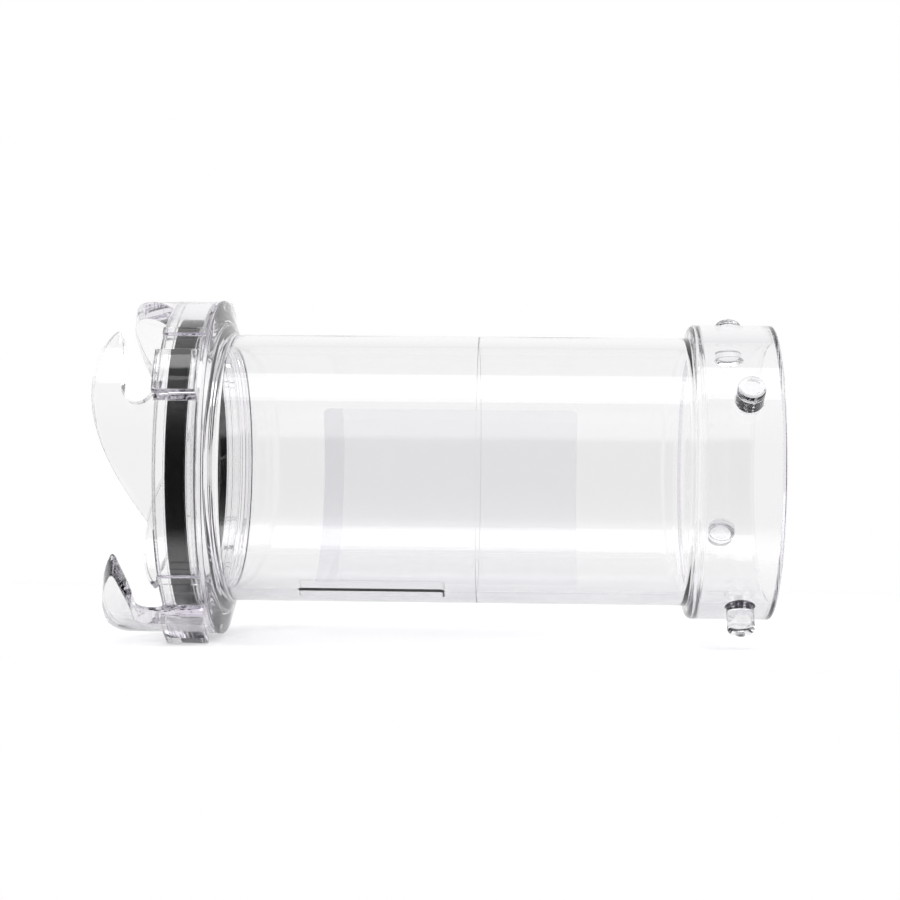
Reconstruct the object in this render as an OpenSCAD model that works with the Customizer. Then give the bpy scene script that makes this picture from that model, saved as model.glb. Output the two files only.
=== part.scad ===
// Clear 3 in waste-hose extender: a see-through tube with a swivelling
// four-hook bayonet ring and gasket at one end and a four-lug collar at the other.
// X runs along the tube (hooks at -X, lugs at +X), Z is up.
// The origin is on the bore axis, half-way between the hook tips and the lug face.

/* [Tube] */
// Overall length, hook tips to lug-end face
overall_len = 203.2; // [190:0.2:320]
// Bore of the tube (3 in nominal)
bore_d = 76.2; // [70:0.1:78]
// Wall of the tube
tube_wall = 3.65; // [3:0.05:5]
// X position of the butt weld between the two tube mouldings
weld_x = 10.9; // [0:0.1:40]

/* [Lug end] */
// Outside diameter of the lug collar
collar_od = 91.6; // [88:0.1:92]
// Length of the lug collar
collar_len = 25.9; // [22:0.1:34]
// Wall of the lug collar at its mouth
collar_wall = 5.2; // [4:0.1:6]
// Rounding of the collar shoulder
shoulder_r = 2.4; // [1:0.1:3]
// Diameter of a lug peg
peg_d = 8.4; // [7:0.1:8.6]
// Radius from the bore axis to the flat of a peg tip
peg_tip_r = 54.5; // [51:0.1:56]
// Distance from the lug-end face to the peg centres
peg_inset = 10.8; // [8:0.1:13]
// Angle of the first peg above the front (-Y) side
peg_angle = 27; // [0:1:89]

/* [Bayonet ring] */
// Outside diameter of the ring and hooks
ring_od = 104; // [103:0.1:108]
// Bore of the ring that receives a mating lug collar
ring_bore_d = 92.8; // [92.4:0.1:94]
// Width of the ring along X
ring_w = 12.8; // [12:0.1:16]
// Reach of the hooks in front of the ring
hook_reach = 18.6; // [17:0.1:22]
// Diameter of the U-notch that holds a peg
notch_d = 9; // [8.8:0.1:10]
// Angle of the first notch above the front (-Y) side
notch_angle = 26; // [0:1:60]
// Diameter over the grip blocks
block_od = 116.2; // [110:0.2:120]
// Width of a grip block round the ring, degrees
block_deg = 14.6; // [8:0.2:20]
// Offset of the grip blocks from the notches, degrees
block_offset = 3.2; // [-10:0.2:20]
// Offset of the thin ribs from the notches, degrees
rib_offset = -66; // [-75:1:-40]
// Thickness of a thin rib
rib_t = 2.8; // [1.5:0.1:4]

/* [Seal] */
// Thickness of the gasket along X
gasket_t = 5.9; // [4:0.1:7]
// Diameter of the stop flange behind the ring
flange_d = 104.6; // [98:0.2:108]
// Running gap round the swivelling ring
swivel_gap = 0.4; // [0.3:0.05:0.8]

/* [Label] */
// Length of the label along the tube
label_len = 84; // [40:1:90]
// Angle at which the label starts, over the top to the back
label_from = 149; // [120:1:170]
// Angle at which the label ends, under the back
label_to = 257; // [200:1:262]

/* [Hidden] */

bore_r = bore_d/2;
tube_r = bore_r + tube_wall;
x_lug = overall_len/2;                 // lug-end face
x_sh = x_lug - collar_len;             // collar shoulder
x_ring = -overall_len/2 + hook_reach;  // front rim of the ring
x_back = x_ring + ring_w;              // rear face of the ring
x_stop = x_back + swivel_gap;          // front face of the stop flange
lip_t = 1.8;                           // ring lip that runs behind the seat flange
seat_t = 1.5;                          // seat flange that carries the gasket
x_lip = x_back - lip_t;
x_seat_b = x_lip - swivel_gap;         // rear of the seat flange
x_seat = x_seat_b - seat_t;            // front of the seat flange = back of the gasket
x_gask = x_seat - gasket_t;            // front of the gasket
x_spig = x_seat - 2.5;                 // end of the spigot inside the gasket
land_r = tube_r + 2.05;                // journal the ring lip turns on
lip_r = land_r + swivel_gap;           // bore of the lip
seat_r = lip_r + 0.7;                  // the lip snaps over this edge
spig_r = bore_r + 2.5;
gasket_r = ring_bore_d/2 - 0.1;        // the gasket goes in through the front of the ring
flange_r = flange_d/2;
ring_r = ring_od/2;
ring_bore_r = ring_bore_d/2;
collar_r = collar_od/2;
mouth_r = collar_r - collar_wall;      // the bore widens to this inside the collar
slip = 0.05;                           // air film between rubber and plastic
peg_x = x_lug - peg_inset;
notch_r = notch_d/2;
groove_r = ring_bore_r + 0.4;          // groove in the ring, round the gasket
x_groove = x_gask - 0.3;

// solid of revolution about X from [radius, x] points
module spin(pts) rotate([0, 90, 0]) rotate_extrude($fn = 160) polygon(pts);
// moves a feature from the front (-Y) side up to angle a
module at(a) rotate([-a, 0, 0]) children();
// prism of an (X, Z) outline, standing on the front side between two radii
module front_prism(r0, r1, pts)
    translate([0, -r0, 0]) rotate([90, 0, 0]) linear_extrude(r1 - r0) polygon(pts);
// quarter-style arc as [radius, x] points
function arc(cr, cx, r, a0, a1, n) =
    [for (i = [0:n]) let(a = a0 + (a1 - a0)*i/n) [cr + r*cos(a), cx + r*sin(a)]];
function bez(a, b, c, d, t) =
    a*pow(1-t, 3) + b*3*t*pow(1-t, 2) + c*3*t*t*(1-t) + d*pow(t, 3);
function curve(a, b, c, d, n) = [for (i = [0:n]) bez(a, b, c, d, i/n)];

module hook_end_tube() color([0.90, 0.90, 0.93, 0.35]) {
    union() {
        spin(concat(
            [[bore_r, x_spig], [spig_r - 0.3, x_spig], [spig_r, x_spig + 0.3], [spig_r, x_seat],
             [seat_r - 0.5, x_seat], [seat_r, x_seat + 0.7], [seat_r, x_seat_b],
             [land_r, x_seat_b], [land_r, x_stop],
             [flange_r - 0.3, x_stop], [flange_r, x_stop + 0.3], [flange_r, x_stop + 0.7],
             [flange_r - 0.4, x_stop + 1.1]],
            arc(tube_r + 0.8, x_stop + 4.54, 0.8, 254, 180, 5),
            [[tube_r, weld_x], [bore_r, weld_x]]));
        // blank raised panel low on the front, where a maker would mould a mark
        intersection() {
            spin([[tube_r - 0.6, -50], [tube_r + 0.45, -50], [tube_r + 0.45, 8], [tube_r - 0.6, 8]]);
            at(-66) front_prism(30, 50, panel_pts);
        }
    }
}
// rounded rectangle 45 x 7
panel_pts = [for (k = [0:3]) for (i = [0:5])
    let(a = 90*k + 18*i, sx = (k == 0 || k == 3) ? 1 : -1, sy = (k < 2) ? 1 : -1)
    [-21 + sx*(22.5 - 1.5) + 1.5*cos(a), sy*(3.5 - 1.5) + 1.5*sin(a)]];

module lug_end_tube() color([0.90, 0.90, 0.93, 0.35]) {
    union() {
        spin(concat(
            [[bore_r, weld_x], [tube_r, weld_x], [tube_r, x_sh - 0.5], [tube_r + 0.5, x_sh]],
            arc(collar_r - shoulder_r, x_sh + shoulder_r, shoulder_r, 270, 360, 6),
            [[collar_r, x_lug - 0.6], [collar_r - 0.6, x_lug],
             [mouth_r + 1, x_lug], [mouth_r, x_lug - 1],
             [mouth_r, x_sh + 2.9], [bore_r, x_sh - 1.1]]));
        for (k = [0:3]) at(peg_angle + 90*k) peg();
    }
}
// one lug: a round peg with a rounded tip, rooted in the collar wall
module peg() translate([peg_x, 0, 0]) rotate([90, 0, 0])
    rotate_extrude($fn = 64) polygon(concat(
        [[0, collar_r - 1.5], [peg_d/2 + 0.5, collar_r - 1.5],
         [peg_d/2 + 0.5, collar_r - 0.1], [peg_d/2, collar_r + 0.4]],
        [for (i = [0:6]) let(a = 15*i) [peg_d/2 - 2 + 2*cos(a), peg_tip_r - 2 + 2*sin(a)]],
        [[0, peg_tip_r]]));

// hook outline in (reach in front of the ring, degrees round the ring from the notch centre)
hook_back = curve([0, -47], [4.5, -37.5], [hook_reach, -20], [hook_reach, 1], 14);
hook_nose = curve([hook_reach, 1], [hook_reach, 10], [hook_reach - 1, 17.5], [hook_reach - 4.2, 24], 9);
hook_tip = curve([hook_reach - 4.2, 24], [hook_reach - 4.8, 25.2], [hook_reach - 5.6, 24.8], [hook_reach - 6, 23.2], 4);
notch_c = 5.4;                          // notch centre in front of the ring
hook_in = curve([hook_reach - 6, 23.2], [hook_reach - 7.4, 17], [notch_c + notch_r, 12], [notch_c + notch_r, 5], 8);
deg_per_mm = 180/(PI*ring_r);
hook_notch = [for (i = [0:12]) let(a = 15*i)
    [notch_c + notch_r*cos(a), -notch_r*sin(a)*deg_per_mm]];
hook_root = [[notch_c - notch_r, 1], [0.3, 3.4], [0, 4.6], [-2, 4.6], [-2, -47]];
hook_all = concat(hook_back, hook_nose, hook_tip, hook_in, hook_notch, hook_root);
hook_mid = -11;                         // direction the hook walls are square to, from the notch centre
hook_step = 0.15;                       // the hooks are a touch thinner than the ring they grow from
module hook() intersection() {
    spin([[ring_bore_r + hook_step, x_ring - hook_reach - 1], [ring_r - hook_step, x_ring - hook_reach - 1],
          [ring_r - hook_step, x_ring + 2], [ring_bore_r + hook_step, x_ring + 2]]);
    at(hook_mid) front_prism(24, 60,
        [for (p = hook_all) [x_ring - p[0], ring_r*sin(p[1] - hook_mid)]]);
}
module block() intersection() {
    spin([[ring_r - 1, x_ring], [block_od/2 - 0.3, x_ring], [block_od/2, x_ring + 0.3],
          [block_od/2, x_back - 0.3], [block_od/2 - 0.3, x_back], [ring_r - 1, x_back]]);
    translate([x_ring - 1, -70, -block_w/2]) cube([ring_w + 2, 40, block_w]);
}
block_w = 2*(ring_r + 2)*sin(block_deg/2);
module rib() intersection() {
    spin([[ring_r - 1, x_ring], [ring_r + 1.1, x_ring], [ring_r + 1.1, x_back], [ring_r - 1, x_back]]);
    translate([x_ring - 1, -70, -rib_t/2]) cube([ring_w + 2, 40, rib_t]);
}
module bayonet_ring() color([0.88, 0.87, 0.94, 0.4]) {
    union() {
        spin([[ring_bore_r + 0.5, x_ring], [ring_r - 0.5, x_ring], [ring_r, x_ring + 0.5],
              [ring_r, x_back - 0.5], [ring_r - 0.5, x_back], [lip_r + 0.3, x_back], [lip_r, x_back - 0.3],
              [lip_r, x_lip], [groove_r, x_lip], [groove_r, x_groove], [ring_bore_r, x_groove],
              [ring_bore_r, x_ring + 0.5]]);
        for (k = [0:3]) {
            at(notch_angle + 90*k) hook();
            at(notch_angle + block_offset + 90*k) block();
            at(notch_angle + rib_offset + 90*k) rib();
        }
    }
}

module gasket() color([0.05, 0.05, 0.06])
    spin([[spig_r + slip, x_seat - slip], [gasket_r - 0.5, x_seat - slip],
          [gasket_r, x_seat - 0.6], [gasket_r, x_gask + 0.6],
          [gasket_r - 0.6, x_gask], [bore_r + 1.1, x_gask], [bore_r + 0.5, x_gask + 0.6],
          [bore_r + 0.5, x_spig - slip], [spig_r + slip, x_spig - slip]]);

// thin sleeve cut to a sector: a fan of points from the axis bounds the label's ends
fan = concat([[0, 0]], [for (i = [0:6]) let(a = label_from + (label_to - label_from)*i/6)
    [-60*cos(a), 60*sin(a)]]);
module label() color([0.80, 0.82, 0.85]) intersection() {
    spin([[tube_r + 0.03, 0.7 - label_len/2], [tube_r + 0.2, 0.7 - label_len/2],
          [tube_r + 0.2, 0.7 + label_len/2], [tube_r + 0.03, 0.7 + label_len/2]]);
    rotate([90, 0, 90]) translate([0, 0, -60]) linear_extrude(120) polygon(fan);
}

hook_end_tube();
lug_end_tube();
bayonet_ring();
gasket();
label();
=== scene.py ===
import math

import bmesh
import bpy
from mathutils import Matrix, Vector

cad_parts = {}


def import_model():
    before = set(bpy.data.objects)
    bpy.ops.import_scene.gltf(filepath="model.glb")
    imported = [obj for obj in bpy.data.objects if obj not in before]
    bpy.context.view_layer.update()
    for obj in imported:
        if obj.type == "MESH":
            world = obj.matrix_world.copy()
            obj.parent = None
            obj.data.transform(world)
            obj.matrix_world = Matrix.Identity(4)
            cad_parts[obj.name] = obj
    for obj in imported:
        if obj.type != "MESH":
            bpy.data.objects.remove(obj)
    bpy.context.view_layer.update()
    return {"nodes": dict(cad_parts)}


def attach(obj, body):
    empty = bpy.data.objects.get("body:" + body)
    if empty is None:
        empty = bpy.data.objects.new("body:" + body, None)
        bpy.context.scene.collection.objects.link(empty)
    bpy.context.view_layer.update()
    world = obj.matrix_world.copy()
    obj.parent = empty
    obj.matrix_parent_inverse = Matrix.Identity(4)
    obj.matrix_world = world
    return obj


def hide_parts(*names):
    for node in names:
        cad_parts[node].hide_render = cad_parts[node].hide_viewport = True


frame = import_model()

MM = 0.001
SEGS = 360

# ---------------------------------------------------------------- sizes, in mm, as in the CAD
X_HOOK, X_LUG = -101.6, 101.6
BORE_R, TUBE_R = 38.1, 41.75
WELD_X = 10.9
X_SH = 75.7
COLLAR_R, MOUTH_R, SHOULDER_R = 45.8, 40.6, 2.4
PEG_D, PEG_TIP_R, PEG_X, PEG_A = 8.4, 54.5, 90.8, 27.0
RING_R, RING_BORE_R, RING_W = 52.0, 46.4, 12.8
X_RING = X_HOOK + 18.6
X_BACK = X_RING + RING_W
GAP = 0.4
X_STOP = X_BACK + GAP
LIP_T, SEAT_T = 1.8, 1.5
X_LIP = X_BACK - LIP_T
X_SEAT_B = X_LIP - GAP
X_SEAT = X_SEAT_B - SEAT_T
X_GASK = X_SEAT - 5.9
X_SPIG = X_SEAT - 2.5
LAND_R = TUBE_R + 2.05
LIP_R = LAND_R + GAP
SEAT_R = LIP_R + 0.7
SPIG_R = BORE_R + 2.5
GASKET_R = RING_BORE_R - 0.1
GROOVE_R = RING_BORE_R + 0.4
X_GROOVE = X_GASK - 0.3
FLANGE_R = 52.3
BLOCK_R, BLOCK_DEG, NOTCH_A, BLOCK_OFF = 58.1, 14.6, 26.0, 3.2
RIB_OFF, RIB_T = -66.0, 2.8
LABEL = (-41.3, 42.7, 149.0, 257.0)


def vec(x, r, phi):
    """phi in degrees, from the front (-Y) side upwards."""
    a = math.radians(phi)
    return Vector((x * MM, -r * math.cos(a) * MM, r * math.sin(a) * MM))


def link(mesh, name):
    ob = bpy.data.objects.new(name, mesh)
    bpy.context.scene.collection.objects.link(ob)
    return ob


def fillet(pts, radii, n=6):
    """Rounds the corners of a closed outline of (r, x) points. radii: one per point, 0 leaves it sharp."""
    out = []
    m = len(pts)
    for i, (p, rad) in enumerate(zip(pts, radii)):
        a, b, c = Vector(pts[i - 1]), Vector(p), Vector(pts[(i + 1) % m])
        if rad <= 0:
            out.append(tuple(b))
            continue
        u, v = (a - b), (c - b)
        lu, lv = u.length, v.length
        u.normalize(), v.normalize()
        ang = u.angle(v)
        if ang > math.pi - 1e-3:
            out.append(tuple(b))
            continue
        t = min(rad / math.tan(ang / 2), lu * 0.49, lv * 0.49)
        rad = t * math.tan(ang / 2)
        p0, p1 = b + u * t, b + v * t
        centre = b + (u + v).normalized() * (rad / math.sin(ang / 2))
        a0 = math.atan2(p0.y - centre.y, p0.x - centre.x)
        a1 = math.atan2(p1.y - centre.y, p1.x - centre.x)
        d = (a1 - a0 + math.pi) % (2 * math.pi) - math.pi
        for k in range(n + 1):
            w = a0 + d * k / n
            out.append((centre.x + rad * math.cos(w), centre.y + rad * math.sin(w)))
    # the ends of the arcs sit exactly on the outline's own radii
    return [(next((r for r, _ in pts if abs(r - q) < 2e-4), q), x) for q, x in out]


def split_long(pts, step):
    """Adds points along long straight runs of a closed outline."""
    out = []
    for i, p in enumerate(pts):
        q = pts[(i + 1) % len(pts)]
        out.append(p)
        d = math.dist(p, q)
        k = int(d // step)
        for j in range(1, k + 1):
            if j * d / (k + 1) < d - 1e-6:
                out.append((p[0] + (q[0] - p[0]) * j / (k + 1), p[1] + (q[1] - p[1]) * j / (k + 1)))
    return out


def spin(pts, name, phis=None, bump=None, skip=None, extra=None):
    """A closed ring about X from a closed outline of (r, x) points in mm.

    phis: the angles of the sections. skip(i, s) leaves out the face behind outline edge i and section s.
    extra(bm, rows) closes what was left out."""
    phis = phis or [360.0 * k / SEGS for k in range(SEGS)]
    bm = bmesh.new()
    rows = [[bm.verts.new(vec(x, r + (bump(r, x, phi) if bump else 0.0), phi)) for r, x in pts] for phi in phis]
    n, m = len(pts), len(phis)
    for q in range(m):
        a, b = rows[q], rows[(q + 1) % m]
        for i in range(n):
            if skip and skip(i, q):
                continue
            j = (i + 1) % n
            bm.faces.new((a[i], a[j], b[j], b[i]))
    if extra:
        extra(bm, rows)
    return finish_mesh(bm, name)


def finish_mesh(bm, name):
    bmesh.ops.recalc_face_normals(bm, faces=bm.faces)
    me = bpy.data.meshes.new(name)
    bm.to_mesh(me)
    bm.free()
    return link(me, name)


def smooth(ob, angle=35):
    """Smooth shading, with the true normals on the parts of the mesh that are exact cylinders about X."""
    me = ob.data
    for p in me.polygons:
        p.use_smooth = True
    me.set_sharp_from_angle(angle=math.radians(angle))
    normals = [(0.0, 0.0, 0.0)] * len(me.loops)
    co = [v.co.copy() for v in me.vertices]
    rad = [math.hypot(c.y, c.z) for c in co]
    hit = False
    for p in me.polygons:
        rs = [rad[v] for v in p.vertices]
        if max(rs) - min(rs) > 2e-7 or rs[0] < 1e-3:
            continue
        c = Vector((0, p.center.y, p.center.z)).normalized()
        d = p.normal.dot(c)
        if abs(d) < 0.99:
            continue
        g = 1.0 if d > 0 else -1.0
        for li, vi in zip(p.loop_indices, p.vertices):
            v = co[vi]
            normals[li] = (0.0, g * v.y / rad[vi], g * v.z / rad[vi])
        hit = True
    if hit:
        me.normals_split_custom_set(normals)


# ---------------------------------------------------------------- materials
def material(name):
    m = bpy.data.materials.new(name)
    m.use_nodes = True
    nt = m.node_tree
    nt.nodes.clear()
    out = nt.nodes.new("ShaderNodeOutputMaterial")
    return m, nt, out


def clear_plastic(name, tint, density, ripple=0.02, scale=28.0, edge=0.0):
    """Polished clear moulding: refraction with a slow moulding ripple, faint tint with depth."""
    m, nt, out = material(name)
    b = nt.nodes.new("ShaderNodeBsdfPrincipled")
    b.inputs["Base Color"].default_value = (1, 1, 1, 1)
    b.inputs["Transmission Weight"].default_value = 1.0
    b.inputs["Roughness"].default_value = 0.0
    b.inputs["IOR"].default_value = 1.57
    co = nt.nodes.new("ShaderNodeTexCoord")
    no = nt.nodes.new("ShaderNodeTexNoise")
    no.inputs["Scale"].default_value = scale
    no.inputs["Detail"].default_value = 1.0
    bu = nt.nodes.new("ShaderNodeBump")
    bu.inputs["Strength"].default_value = ripple
    bu.inputs["Distance"].default_value = 0.002
    nt.links.new(co.outputs["Object"], no.inputs["Vector"])
    nt.links.new(no.outputs["Fac"], bu.inputs["Height"])
    nt.links.new(bu.outputs["Normal"], b.inputs["Normal"])
    if edge:
        be = nt.nodes.new("ShaderNodeBevel")
        be.samples = 4
        be.inputs["Radius"].default_value = edge
        nt.links.new(be.outputs["Normal"], bu.inputs["Normal"])
    # lamp light passes the clear wall, so it throws only a soft shadow
    lp = nt.nodes.new("ShaderNodeLightPath")
    tp = nt.nodes.new("ShaderNodeBsdfTransparent")
    tp.inputs["Color"].default_value = (0.80, 0.80, 0.82, 1)
    mx = nt.nodes.new("ShaderNodeMixShader")
    nt.links.new(lp.outputs["Is Shadow Ray"], mx.inputs[0])
    nt.links.new(b.outputs["BSDF"], mx.inputs[1])
    nt.links.new(tp.outputs["BSDF"], mx.inputs[2])
    nt.links.new(mx.outputs["Shader"], out.inputs["Surface"])
    va = nt.nodes.new("ShaderNodeVolumeAbsorption")
    va.inputs["Color"].default_value = (*tint, 1)
    va.inputs["Density"].default_value = density
    nt.links.new(va.outputs["Volume"], out.inputs["Volume"])
    return m


def rubber(name):
    m, nt, out = material(name)
    b = nt.nodes.new("ShaderNodeBsdfPrincipled")
    b.inputs["Roughness"].default_value = 0.6
    b.inputs["Specular IOR Level"].default_value = 0.2
    co = nt.nodes.new("ShaderNodeTexCoord")
    no = nt.nodes.new("ShaderNodeTexNoise")
    no.inputs["Scale"].default_value = 900.0
    no.inputs["Detail"].default_value = 3.0
    ra = nt.nodes.new("ShaderNodeValToRGB")
    ra.color_ramp.elements[0].color = (0.002, 0.002, 0.002, 1)
    ra.color_ramp.elements[1].color = (0.006, 0.006, 0.007, 1)
    bu = nt.nodes.new("ShaderNodeBump")
    bu.inputs["Strength"].default_value = 0.15
    bu.inputs["Distance"].default_value = 0.0004
    nt.links.new(co.outputs["Object"], no.inputs["Vector"])
    nt.links.new(no.outputs["Fac"], ra.inputs["Fac"])
    nt.links.new(ra.outputs["Color"], b.inputs["Base Color"])
    nt.links.new(no.outputs["Fac"], bu.inputs["Height"])
    nt.links.new(bu.outputs["Normal"], b.inputs["Normal"])
    nt.links.new(b.outputs["BSDF"], out.inputs["Surface"])
    return m


def label_film(name):
    """Clear film with a faint pale print: a darker strip at one end and slow blotches, no text."""
    m, nt, out = material(name)
    b = nt.nodes.new("ShaderNodeBsdfPrincipled")
    b.inputs["Roughness"].default_value = 0.5
    tr = nt.nodes.new("ShaderNodeBsdfTranslucent")
    tr.inputs["Color"].default_value = (0.80, 0.81, 0.84, 1)
    ink = nt.nodes.new("ShaderNodeMixShader")
    ink.inputs[0].default_value = 0.55
    co = nt.nodes.new("ShaderNodeTexCoord")
    sep = nt.nodes.new("ShaderNodeSeparateXYZ")
    nt.links.new(co.outputs["Object"], sep.inputs["Vector"])
    no = nt.nodes.new("ShaderNodeTexNoise")
    no.inputs["Scale"].default_value = 60.0
    no.inputs["Detail"].default_value = 4.0
    nt.links.new(co.outputs["Object"], no.inputs["Vector"])
    ra = nt.nodes.new("ShaderNodeValToRGB")
    ra.color_ramp.elements[0].color = (0.70, 0.72, 0.77, 1)
    ra.color_ramp.elements[1].color = (0.84, 0.84, 0.86, 1)
    nt.links.new(no.outputs["Fac"], ra.inputs["Fac"])
    nt.links.new(ra.outputs["Color"], b.inputs["Base Color"])
    # how much print there is: most in the end strip
    strip = nt.nodes.new("ShaderNodeMapRange")
    strip.interpolation_type = "SMOOTHSTEP"
    strip.inputs["From Min"].default_value = -0.0350
    strip.inputs["From Max"].default_value = -0.0345
    strip.inputs["To Min"].default_value = 0.24
    strip.inputs["To Max"].default_value = 0.09
    nt.links.new(sep.outputs["X"], strip.inputs["Value"])
    tp = nt.nodes.new("ShaderNodeBsdfTransparent")
    tp.inputs["Color"].default_value = (0.985, 0.985, 0.99, 1)
    mx = nt.nodes.new("ShaderNodeMixShader")
    nt.links.new(b.outputs["BSDF"], ink.inputs[1])
    nt.links.new(tr.outputs["BSDF"], ink.inputs[2])
    nt.links.new(strip.outputs["Result"], mx.inputs[0])
    nt.links.new(tp.outputs["BSDF"], mx.inputs[1])
    nt.links.new(ink.outputs["Shader"], mx.inputs[2])
    nt.links.new(mx.outputs["Shader"], out.inputs["Surface"])
    return m


M_TUBE = clear_plastic("clear_tube_plastic", (0.80, 0.74, 0.87), 9.0)
M_RING = clear_plastic("clear_ring_plastic", (0.80, 0.75, 0.86), 10.0, ripple=0.03, scale=40.0, edge=0.0005)
M_RUBBER = rubber("gasket_rubber")
M_LABEL = label_film("label_film")

# ---------------------------------------------------------------- tube halves
WELD_GAP = 0.01
PANEL = (-21.0, -66.0, 22.5, 3.5, 1.5, 0.45)


def span(a, b, n):
    return [a + (b - a) * i / n for i in range(n + 1)]


def hook_half():
    w = WELD_X - WELD_GAP
    pts = [(BORE_R, X_SPIG), (SPIG_R, X_SPIG), (SPIG_R, X_SEAT), (SEAT_R, X_SEAT), (SEAT_R, X_SEAT_B),
           (LAND_R, X_SEAT_B), (LAND_R, X_STOP), (FLANGE_R, X_STOP), (FLANGE_R, X_STOP + 1.05),
           (TUBE_R, X_STOP + 4.0), (TUBE_R, w), (BORE_R, w)]
    rad = [0.3, 0.3, 0.2, 0.5, 0.15, 0.15, 0.25, 0.35, 0.35, 1.1, 0.08, 0.05]
    pts = fillet(pts, rad)
    # outline rows across the raised panel's ends
    px, pa, hx, hz, cr, lift = PANEL
    i = max(k for k, p in enumerate(pts[:-1]) if abs(p[0] - TUBE_R) < 1e-6 and p[1] < -50)
    rows = span(-60, px - hx - 1.0, 6) + span(px - hx - 0.8, px - hx + 2.2, 16) + span(px - hx + 3, px + hx - 3, 12)
    rows += span(px + hx - 2.2, px + hx + 0.8, 16) + span(px + hx + 1.2, w - 0.6, 3)
    pts[i + 1:i + 1] = [(TUBE_R, x) for x in rows]
    pts = split_long(pts, 3.0)
    e = math.degrees(hz / TUBE_R)
    fine = 0.25
    phis = [360.0 * k / SEGS for k in range(SEGS)]
    for c in (pa - e, pa + e):
        lo, hi = c - 2.6, c + 2.6
        phis = [f for f in phis if not lo - 0.3 < (f if f < 180 else f - 360) < hi + 0.3]
        phis += [(lo + fine * k) % 360 for k in range(int((hi - lo) / fine) + 1)]
    phis.sort()

    def bump(r, x, phi):
        if abs(r - TUBE_R) > 1e-6:
            return 0.0
        f = phi if phi < 180 else phi - 360
        qx, qz = abs(x - px) - (hx - cr), abs(math.radians(f - pa) * TUBE_R) - (hz - cr)
        d = math.hypot(max(qx, 0), max(qz, 0)) + min(max(qx, qz), 0) - cr
        t = min(max((0.1 - d) / 1.1, 0), 1)
        return lift * t * t * (3 - 2 * t)

    ob = spin(pts, "tube_hook_half", phis=phis, bump=bump)
    smooth(ob)
    return ob


def lug_half():
    w = WELD_X + WELD_GAP
    pts = [(BORE_R, w), (TUBE_R, w), (TUBE_R, X_SH), (COLLAR_R, X_SH), (COLLAR_R, X_LUG),
           (MOUTH_R + 1.0, X_LUG), (MOUTH_R, X_LUG - 1.0), (MOUTH_R, X_SH + 2.9), (BORE_R, X_SH - 1.1)]
    rad = [0.05, 0.08, 0.5, SHOULDER_R, 0.6, 0.3, 0.5, 2.6, 2.6]
    pts = fillet(pts, rad, 8)
    # rows on the collar: an even patch of cells round the pegs
    n, half = 16, 6.4
    i = max(k for k, p in enumerate(pts) if abs(p[0] - COLLAR_R) < 1e-6 and p[1] < PEG_X)
    xs = span(pts[i][1], PEG_X - half, 6)[1:-1] + span(PEG_X - half, PEG_X + half, n)
    xs += span(PEG_X + half, pts[i + 1][1], 4)[1:-1]
    pts[i + 1:i + 1] = [(COLLAR_R, x) for x in xs]
    pts = split_long(pts, 3.0)
    lo = min(range(len(pts)), key=lambda k: abs(pts[k][0] - COLLAR_R) + abs(pts[k][1] - (PEG_X - half)))
    # sections: one degree apart, with 16 cells of 1 degree round each peg
    phis = [PEG_A - 8 + k for k in range(360)]

    def in_patch(i, q):
        return lo <= i < lo + n and q % 90 < n

    def pegs(bm, rows):
        for k in range(4):
            q0 = 90 * k
            edge = [rows[(q0 + j) % 360][lo] for j in range(n)]
            edge += [rows[(q0 + n) % 360][lo + j] for j in range(n)]
            edge += [rows[(q0 + n - j) % 360][lo + n] for j in range(n)]
            edge += [rows[q0 % 360][lo + n - j] for j in range(n)]
            peg(bm, PEG_A + 90 * k, edge)

    ob = spin(pts, "tube_lug_half", phis=phis, skip=in_patch, extra=pegs)
    smooth(ob, 30)
    return ob


def peg(bm, phi, edge):
    """Fills a square of collar cells with a peg that grows out of it on a small fillet."""
    a = math.radians(phi)
    out = Vector((0, -math.cos(a), math.sin(a)))
    side = Vector((0, math.sin(a), math.cos(a)))
    pr, f, tip = PEG_D / 2, 0.7, 2.0
    ts = []
    for v in edge:
        p = v.co / MM
        ts.append(math.atan2(p.dot(side), p.x - PEG_X))

    def at(rho, h, t):
        return (Vector((PEG_X + rho * math.cos(t), 0, 0)) + out * h + side * (rho * math.sin(t))) * MM

    def base(rho, t):
        return math.sqrt(COLLAR_R ** 2 - (rho * math.sin(t)) ** 2)

    rings = [edge]
    for u in (0.25, 0.5, 0.75, 1.0):
        ring = []
        for v, t in zip(edge, ts):
            p = v.co / MM
            q = Vector((p.x - PEG_X, p.dot(side)))
            c = Vector((math.cos(t), math.sin(t))) * (pr + f)
            g = q.lerp(c, u)
            h = math.sqrt(COLLAR_R ** 2 - g.y ** 2)
            ring.append(bm.verts.new((Vector((PEG_X + g.x, 0, 0)) + out * h + side * g.y) * MM))
        rings.append(ring)
    for k in range(1, 7):
        u = math.radians(15 * k)
        rho = pr + f * (1 - math.sin(u))
        rings.append([bm.verts.new(at(rho, base(rho, t) + f * (1 - math.cos(u)), t)) for t in ts])
    top = PEG_TIP_R - tip
    for k in range(1, 7):
        rings.append([bm.verts.new(at(pr, (base(pr, t) + f) * (1 - k / 6) + top * k / 6, t)) for t in ts])
    for k in range(1, 10):
        u = math.radians(10 * k)
        rings.append([bm.verts.new(at(pr - tip + tip * math.cos(u), top + tip * math.sin(u), t)) for t in ts])
    for rho in (1.6, 1.0, 0.4):
        rings.append([bm.verts.new(at(rho, PEG_TIP_R, t)) for t in ts])
    m = len(edge)
    for r0, r1 in zip(rings, rings[1:]):
        for k in range(m):
            j = (k + 1) % m
            bm.faces.new((r0[k], r0[j], r1[j], r1[k]))
    bm.faces.new(rings[-1])


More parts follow.
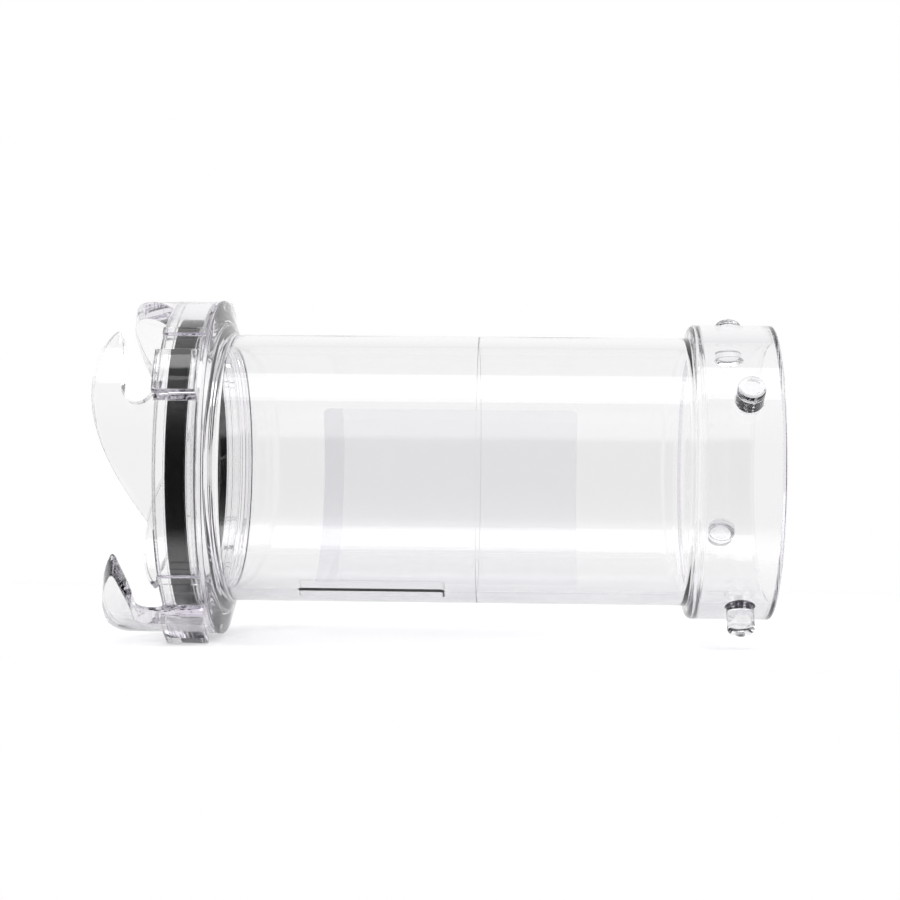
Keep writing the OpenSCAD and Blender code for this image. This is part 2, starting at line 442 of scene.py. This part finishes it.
tube_a = hook_half()
tube_b = lug_half()
for ob, node in ((tube_a, "hook_end_tube"), (tube_b, "lug_end_tube")):
    ob.data.materials.append(M_TUBE)
    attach(ob, "tube")
    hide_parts(node)


# ---------------------------------------------------------------- gasket
def gasket_mesh():
    s = 0.05
    pts = [(SPIG_R + s, X_SEAT - s), (GASKET_R, X_SEAT - s), (GASKET_R, X_GASK), (BORE_R + 0.5, X_GASK),
           (BORE_R + 0.5, X_SPIG - s), (SPIG_R + s, X_SPIG - s)]
    pts = split_long(fillet(pts, [0.1, 0.5, 0.7, 0.7, 0.2, 0.1], 6), 1.5)
    ob = spin(pts, "gasket_ring")
    smooth(ob, 60)
    return ob


gasket = gasket_mesh()
gasket.data.materials.append(M_RUBBER)
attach(gasket, "tube")
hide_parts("gasket")


# ---------------------------------------------------------------- label
def label_mesh():
    x0, x1, a0, a1 = LABEL
    r0, r1 = TUBE_R + 0.03, TUBE_R + 0.2
    nu, nv = 84, 108
    bm = bmesh.new()
    cr = 2.0
    deg = math.degrees(1 / r1)

    def pt(u, v, r):
        # rounded corners: squeeze x near the label's ends
        x, a = x0 + (x1 - x0) * u, a0 + (a1 - a0) * v
        e = min(a - a0, a1 - a) / deg
        ins = cr - math.sqrt(max(cr * cr - (cr - min(e, cr)) ** 2, 0)) if e < cr else 0.0
        xx = x0 + ins + (x1 - x0 - 2 * ins) * u
        return vec(xx, r, a)

    vs = [0, 0.02, 0.06, 0.14, 0.3, 0.6, 1.0, 1.5, 2.0]
    rows = [d * deg / (a1 - a0) for d in vs]
    rows += [rows[-1] + (1 - 2 * rows[-1]) * i / (nv - 1) for i in range(1, nv - 1)] + [1 - d * deg / (a1 - a0) for d in reversed(vs)]
    top = [[bm.verts.new(pt(i / nu, v, r1)) for i in range(nu + 1)] for v in rows]
    bot = [[bm.verts.new(pt(i / nu, v, r0)) for i in range(nu + 1)] for v in rows]
    m = len(rows)
    for j in range(m - 1):
        for i in range(nu):
            bm.faces.new((top[j][i], top[j][i + 1], top[j + 1][i + 1], top[j + 1][i]))
            bm.faces.new((bot[j][i], bot[j + 1][i], bot[j + 1][i + 1], bot[j][i + 1]))
        bm.faces.new((top[j][0], top[j + 1][0], bot[j + 1][0], bot[j][0]))
        bm.faces.new((top[j + 1][nu], top[j][nu], bot[j][nu], bot[j + 1][nu]))
    for i in range(nu):
        bm.faces.new((top[0][i + 1], top[0][i], bot[0][i], bot[0][i + 1]))
        bm.faces.new((top[m - 1][i], top[m - 1][i + 1], bot[m - 1][i + 1], bot[m - 1][i]))
    bmesh.ops.recalc_face_normals(bm, faces=bm.faces)
    me = bpy.data.meshes.new("label_film")
    bm.to_mesh(me)
    bm.free()
    ob = link(me, "label_film")
    smooth(ob, 50)
    return ob


label = label_mesh()
label.data.materials.append(M_LABEL)
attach(label, "tube")
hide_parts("label")

# ---------------------------------------------------------------- ring: the CAD mesh, with the clear material
ring = frame["nodes"]["bayonet_ring"]
for s in ring.material_slots:
    s.material = M_RING

# ---------------------------------------------------------------- stage, light, camera
FLOOR_Z = -53.6 * MM


def stage_floor():
    bm = bmesh.new()
    s = 3.0
    v = [bm.verts.new(p) for p in ((-s, -s, FLOOR_Z), (s, -s, FLOOR_Z), (s, s, FLOOR_Z), (-s, s, FLOOR_Z))]
    bm.faces.new(v)
    me = bpy.data.meshes.new("floor")
    bm.to_mesh(me)
    bm.free()
    ob = link(me, "floor")
    m, nt, out = material("pale_floor")
    b = nt.nodes.new("ShaderNodeBsdfDiffuse")
    b.inputs["Color"].default_value = (0.96, 0.96, 0.96, 1)
    # the board runs out softly: close in front of the part, further off behind it and at its sides
    co = nt.nodes.new("ShaderNodeTexCoord")
    sep = nt.nodes.new("ShaderNodeSeparateXYZ")
    nt.links.new(co.outputs["Object"], sep.inputs["Vector"])

    def fade(sock, near, far):
        mp = nt.nodes.new("ShaderNodeMapRange")
        mp.interpolation_type = "SMOOTHSTEP"
        mp.inputs["From Min"].default_value = near
        mp.inputs["From Max"].default_value = far
        nt.links.new(sock, mp.inputs["Value"])
        return mp.outputs["Result"]

    side = nt.nodes.new("ShaderNodeMath")
    side.operation = "ABSOLUTE"
    nt.links.new(sep.outputs["X"], side.inputs[0])
    edges = [fade(sep.outputs["Y"], -0.055, -0.085), fade(sep.outputs["Y"], 0.10, 0.34),
             fade(side.outputs["Value"], 0.125, 0.24)]
    mp = edges[0]
    for e in edges[1:]:
        mm = nt.nodes.new("ShaderNodeMath")
        mm.operation = "MAXIMUM"
        nt.links.new(mp, mm.inputs[0])
        nt.links.new(e, mm.inputs[1])
        mp = mm.outputs["Value"]
    tp = nt.nodes.new("ShaderNodeBsdfTransparent")
    mx = nt.nodes.new("ShaderNodeMixShader")
    nt.links.new(mp, mx.inputs[0])
    # painted shadow: for every ray but the camera's, the floor is darker (0.74 against 0.96) under and behind the
    # part, a shadow painted into its colour by position; the camera sees it evenly pale
    painted_shadow_bsdf = nt.nodes.new("ShaderNodeBsdfDiffuse")
    painted_shadow_ramp = nt.nodes.new("ShaderNodeValToRGB")
    mr = nt.nodes.new("ShaderNodeMapRange")
    mr.inputs["From Min"].default_value = -0.06
    mr.inputs["From Max"].default_value = 0.06
    nt.links.new(sep.outputs["Y"], mr.inputs["Value"])
    nt.links.new(mr.outputs["Result"], painted_shadow_ramp.inputs["Fac"])
    te = painted_shadow_ramp.color_ramp.elements
    te[0].position, te[0].color = 0.30, (0.96, 0.96, 0.96, 1)
    te[1].position, te[1].color = 0.46, (0.74, 0.74, 0.74, 1)
    nt.links.new(painted_shadow_ramp.outputs["Color"], painted_shadow_bsdf.inputs["Color"])
    lp = nt.nodes.new("ShaderNodeLightPath")
    seen = nt.nodes.new("ShaderNodeMixShader")
    nt.links.new(lp.outputs["Is Camera Ray"], seen.inputs[0])
    nt.links.new(painted_shadow_bsdf.outputs["BSDF"], seen.inputs[1])
    nt.links.new(b.outputs["BSDF"], seen.inputs[2])
    nt.links.new(seen.outputs["Shader"], mx.inputs[1])
    nt.links.new(tp.outputs["BSDF"], mx.inputs[2])
    nt.links.new(mx.outputs["Shader"], out.inputs["Surface"])
    ob.data.materials.append(m)
    return ob


stage_floor()


def softbox(name, pos, size, strength, target=(0, 0, 0)):
    li = bpy.data.lights.new(name, "AREA")
    li.shape = "RECTANGLE"
    li.size, li.size_y = size
    li.energy = strength
    ob = bpy.data.objects.new(name, li)
    bpy.context.scene.collection.objects.link(ob)
    ob.location = pos
    d = Vector(target) - Vector(pos)
    ob.rotation_euler = d.to_track_quat("-Z", "Y").to_euler()
    return ob


# overhead softbox: seen in the tube from 61 to 86 degrees above the front
box_l = softbox("overhead_softbox", (0, -0.31, 1.0), (2.2, 0.48), 6.0, (0, -0.31, 0))


def world():
    """White backdrop to the camera, even fill on matt surfaces, and a studio that is dark in front
    and bright behind for everything seen in or through the clear plastic."""
    w = bpy.data.worlds.new("studio")
    bpy.context.scene.world = w
    w.use_nodes = True
    nt = w.node_tree
    nt.nodes.clear()
    out = nt.nodes.new("ShaderNodeOutputWorld")
    co = nt.nodes.new("ShaderNodeTexCoord")
    sep = nt.nodes.new("ShaderNodeSeparateXYZ")
    nt.links.new(co.outputs["Generated"], sep.inputs["Vector"])

    def mapped(sock, stops):
        mp = nt.nodes.new("ShaderNodeMapRange")
        mp.inputs["From Min"].default_value = -1.0
        mp.inputs["From Max"].default_value = 1.0
        nt.links.new(sep.outputs[sock], mp.inputs["Value"])
        ramp = nt.nodes.new("ShaderNodeValToRGB")
        nt.links.new(mp.outputs["Result"], ramp.inputs["Fac"])
        e = ramp.color_ramp.elements
        e[0].position, e[0].color = stops[0][0], (*stops[0][1], 1)
        e[1].position, e[1].color = stops[-1][0], (*stops[-1][1], 1)
        for pos, c in stops[1:-1]:
            e.new(pos).color = (*c, 1)
        return ramp

    by_depth, by_height = mapped("Y", STUDIO_DEPTH), mapped("Z", STUDIO_HEIGHT)
    top = nt.nodes.new("ShaderNodeMath")
    top.operation = "MAXIMUM"
    nt.links.new(by_depth.outputs["Color"], top.inputs[0])
    nt.links.new(by_height.outputs["Color"], top.inputs[1])
    by_side = mapped("X", STUDIO_SIDE)
    lit = nt.nodes.new("ShaderNodeMath")
    lit.operation = "MAXIMUM"
    nt.links.new(top.outputs["Value"], lit.inputs[0])
    nt.links.new(by_side.outputs["Color"], lit.inputs[1])
    studio = nt.nodes.new("ShaderNodeBackground")
    studio.inputs["Color"].default_value = (1, 1, 1, 1)
    nt.links.new(lit.outputs["Value"], studio.inputs["Strength"])
    white = nt.nodes.new("ShaderNodeBackground")
    white.inputs["Color"].default_value = (1, 1, 1, 1)
    white.inputs["Strength"].default_value = 1.0
    fill = nt.nodes.new("ShaderNodeBackground")
    fill.inputs["Color"].default_value = (1, 1, 1, 1)
    fill.inputs["Strength"].default_value = 0.97
    lp = nt.nodes.new("ShaderNodeLightPath")
    m1 = nt.nodes.new("ShaderNodeMixShader")
    nt.links.new(lp.outputs["Is Diffuse Ray"], m1.inputs[0])
    nt.links.new(studio.outputs["Background"], m1.inputs[1])
    nt.links.new(fill.outputs["Background"], m1.inputs[2])
    m2 = nt.nodes.new("ShaderNodeMixShader")
    nt.links.new(lp.outputs["Is Camera Ray"], m2.inputs[0])
    nt.links.new(m1.outputs["Shader"], m2.inputs[1])
    nt.links.new(white.outputs["Background"], m2.inputs[2])
    nt.links.new(m2.outputs["Shader"], out.inputs["Surface"])


def grey(*stops):
    return [(p, (c, c, c)) for p, c in stops]


# stop positions: 0 is -Y (or straight down), 1 is +Y (or straight up)
STUDIO_DEPTH = grey((0.0, 0.02), (0.30, 0.08), (0.42, 0.32), (0.5, 0.52), (0.62, 0.66), (0.78, 0.79), (0.90, 0.92), (0.97, 0.98), (1.0, 0.99))
STUDIO_SIDE = grey((0.0, 0.92), (0.18, 0.90), (0.36, 0.0), (0.64, 0.0), (0.82, 0.90), (1.0, 0.92))
STUDIO_HEIGHT = grey((0.0, 0.0), (0.6, 0.0), (0.73, 0.10), (0.93, 0.50), (1.0, 0.60))

world()


def camera():
    # viewing distance, yaw, small tilt and roll of the view, focal length in units of a 900 px frame
    D, yaw, tilt, roll, f = 633.2, 2.0, -0.347, 0.586, 2016.05
    cam = bpy.data.cameras.new("camera")
    cam.sensor_fit = "HORIZONTAL"
    cam.sensor_width = 36.0
    cam.lens = f / 900 * 36.0
    cam.clip_start = 0.01
    cam.clip_end = 20
    ob = bpy.data.objects.new("camera", cam)
    bpy.context.scene.collection.objects.link(ob)
    yaw, tilt, roll = map(math.radians, (yaw, tilt, roll))
    # view basis in object axes: right, into the scene, up
    right = Vector((math.cos(yaw), math.sin(yaw), 0))
    depth = Vector((-math.sin(yaw), math.cos(yaw), 0))
    up = Vector((0, 0, 1))
    into = (depth * math.cos(tilt) - up * math.sin(tilt)).normalized()
    up2 = (up * math.cos(tilt) + depth * math.sin(tilt)).normalized()
    # image axes turned by the roll
    r2 = right * math.cos(roll) + up2 * math.sin(roll)
    u2 = -right * math.sin(roll) + up2 * math.cos(roll)
    R = Matrix((r2, u2, -into)).transposed()
    # the object's axis point that lies on the optical axis
    origin = Vector((1.99, 0, 0))
    pos = (origin - into * D) * MM
    ob.matrix_world = Matrix.Translation(pos) @ R.to_4x4()
    cam.shift_x = 0.0
    cam.shift_y = (469.58 - 450) / 900
    bpy.context.scene.camera = ob
    return ob


cam = camera()
sc = bpy.context.scene
sc.view_settings.view_transform = "Standard"
sc.view_settings.look = "None"
sc.view_settings.exposure = 0.0
sc.cycles.max_bounces = 24
sc.cycles.transmission_bounces = 24
sc.cycles.glossy_bounces = 12
sc.cycles.transparent_max_bounces = 24
sc.cycles.use_denoising = True
sc.cycles.caustics_reflective = True
sc.cycles.caustics_refractive = True
sc.cycles.blur_glossy = 0.0
sc.cycles.sample_clamp_indirect = 4.0
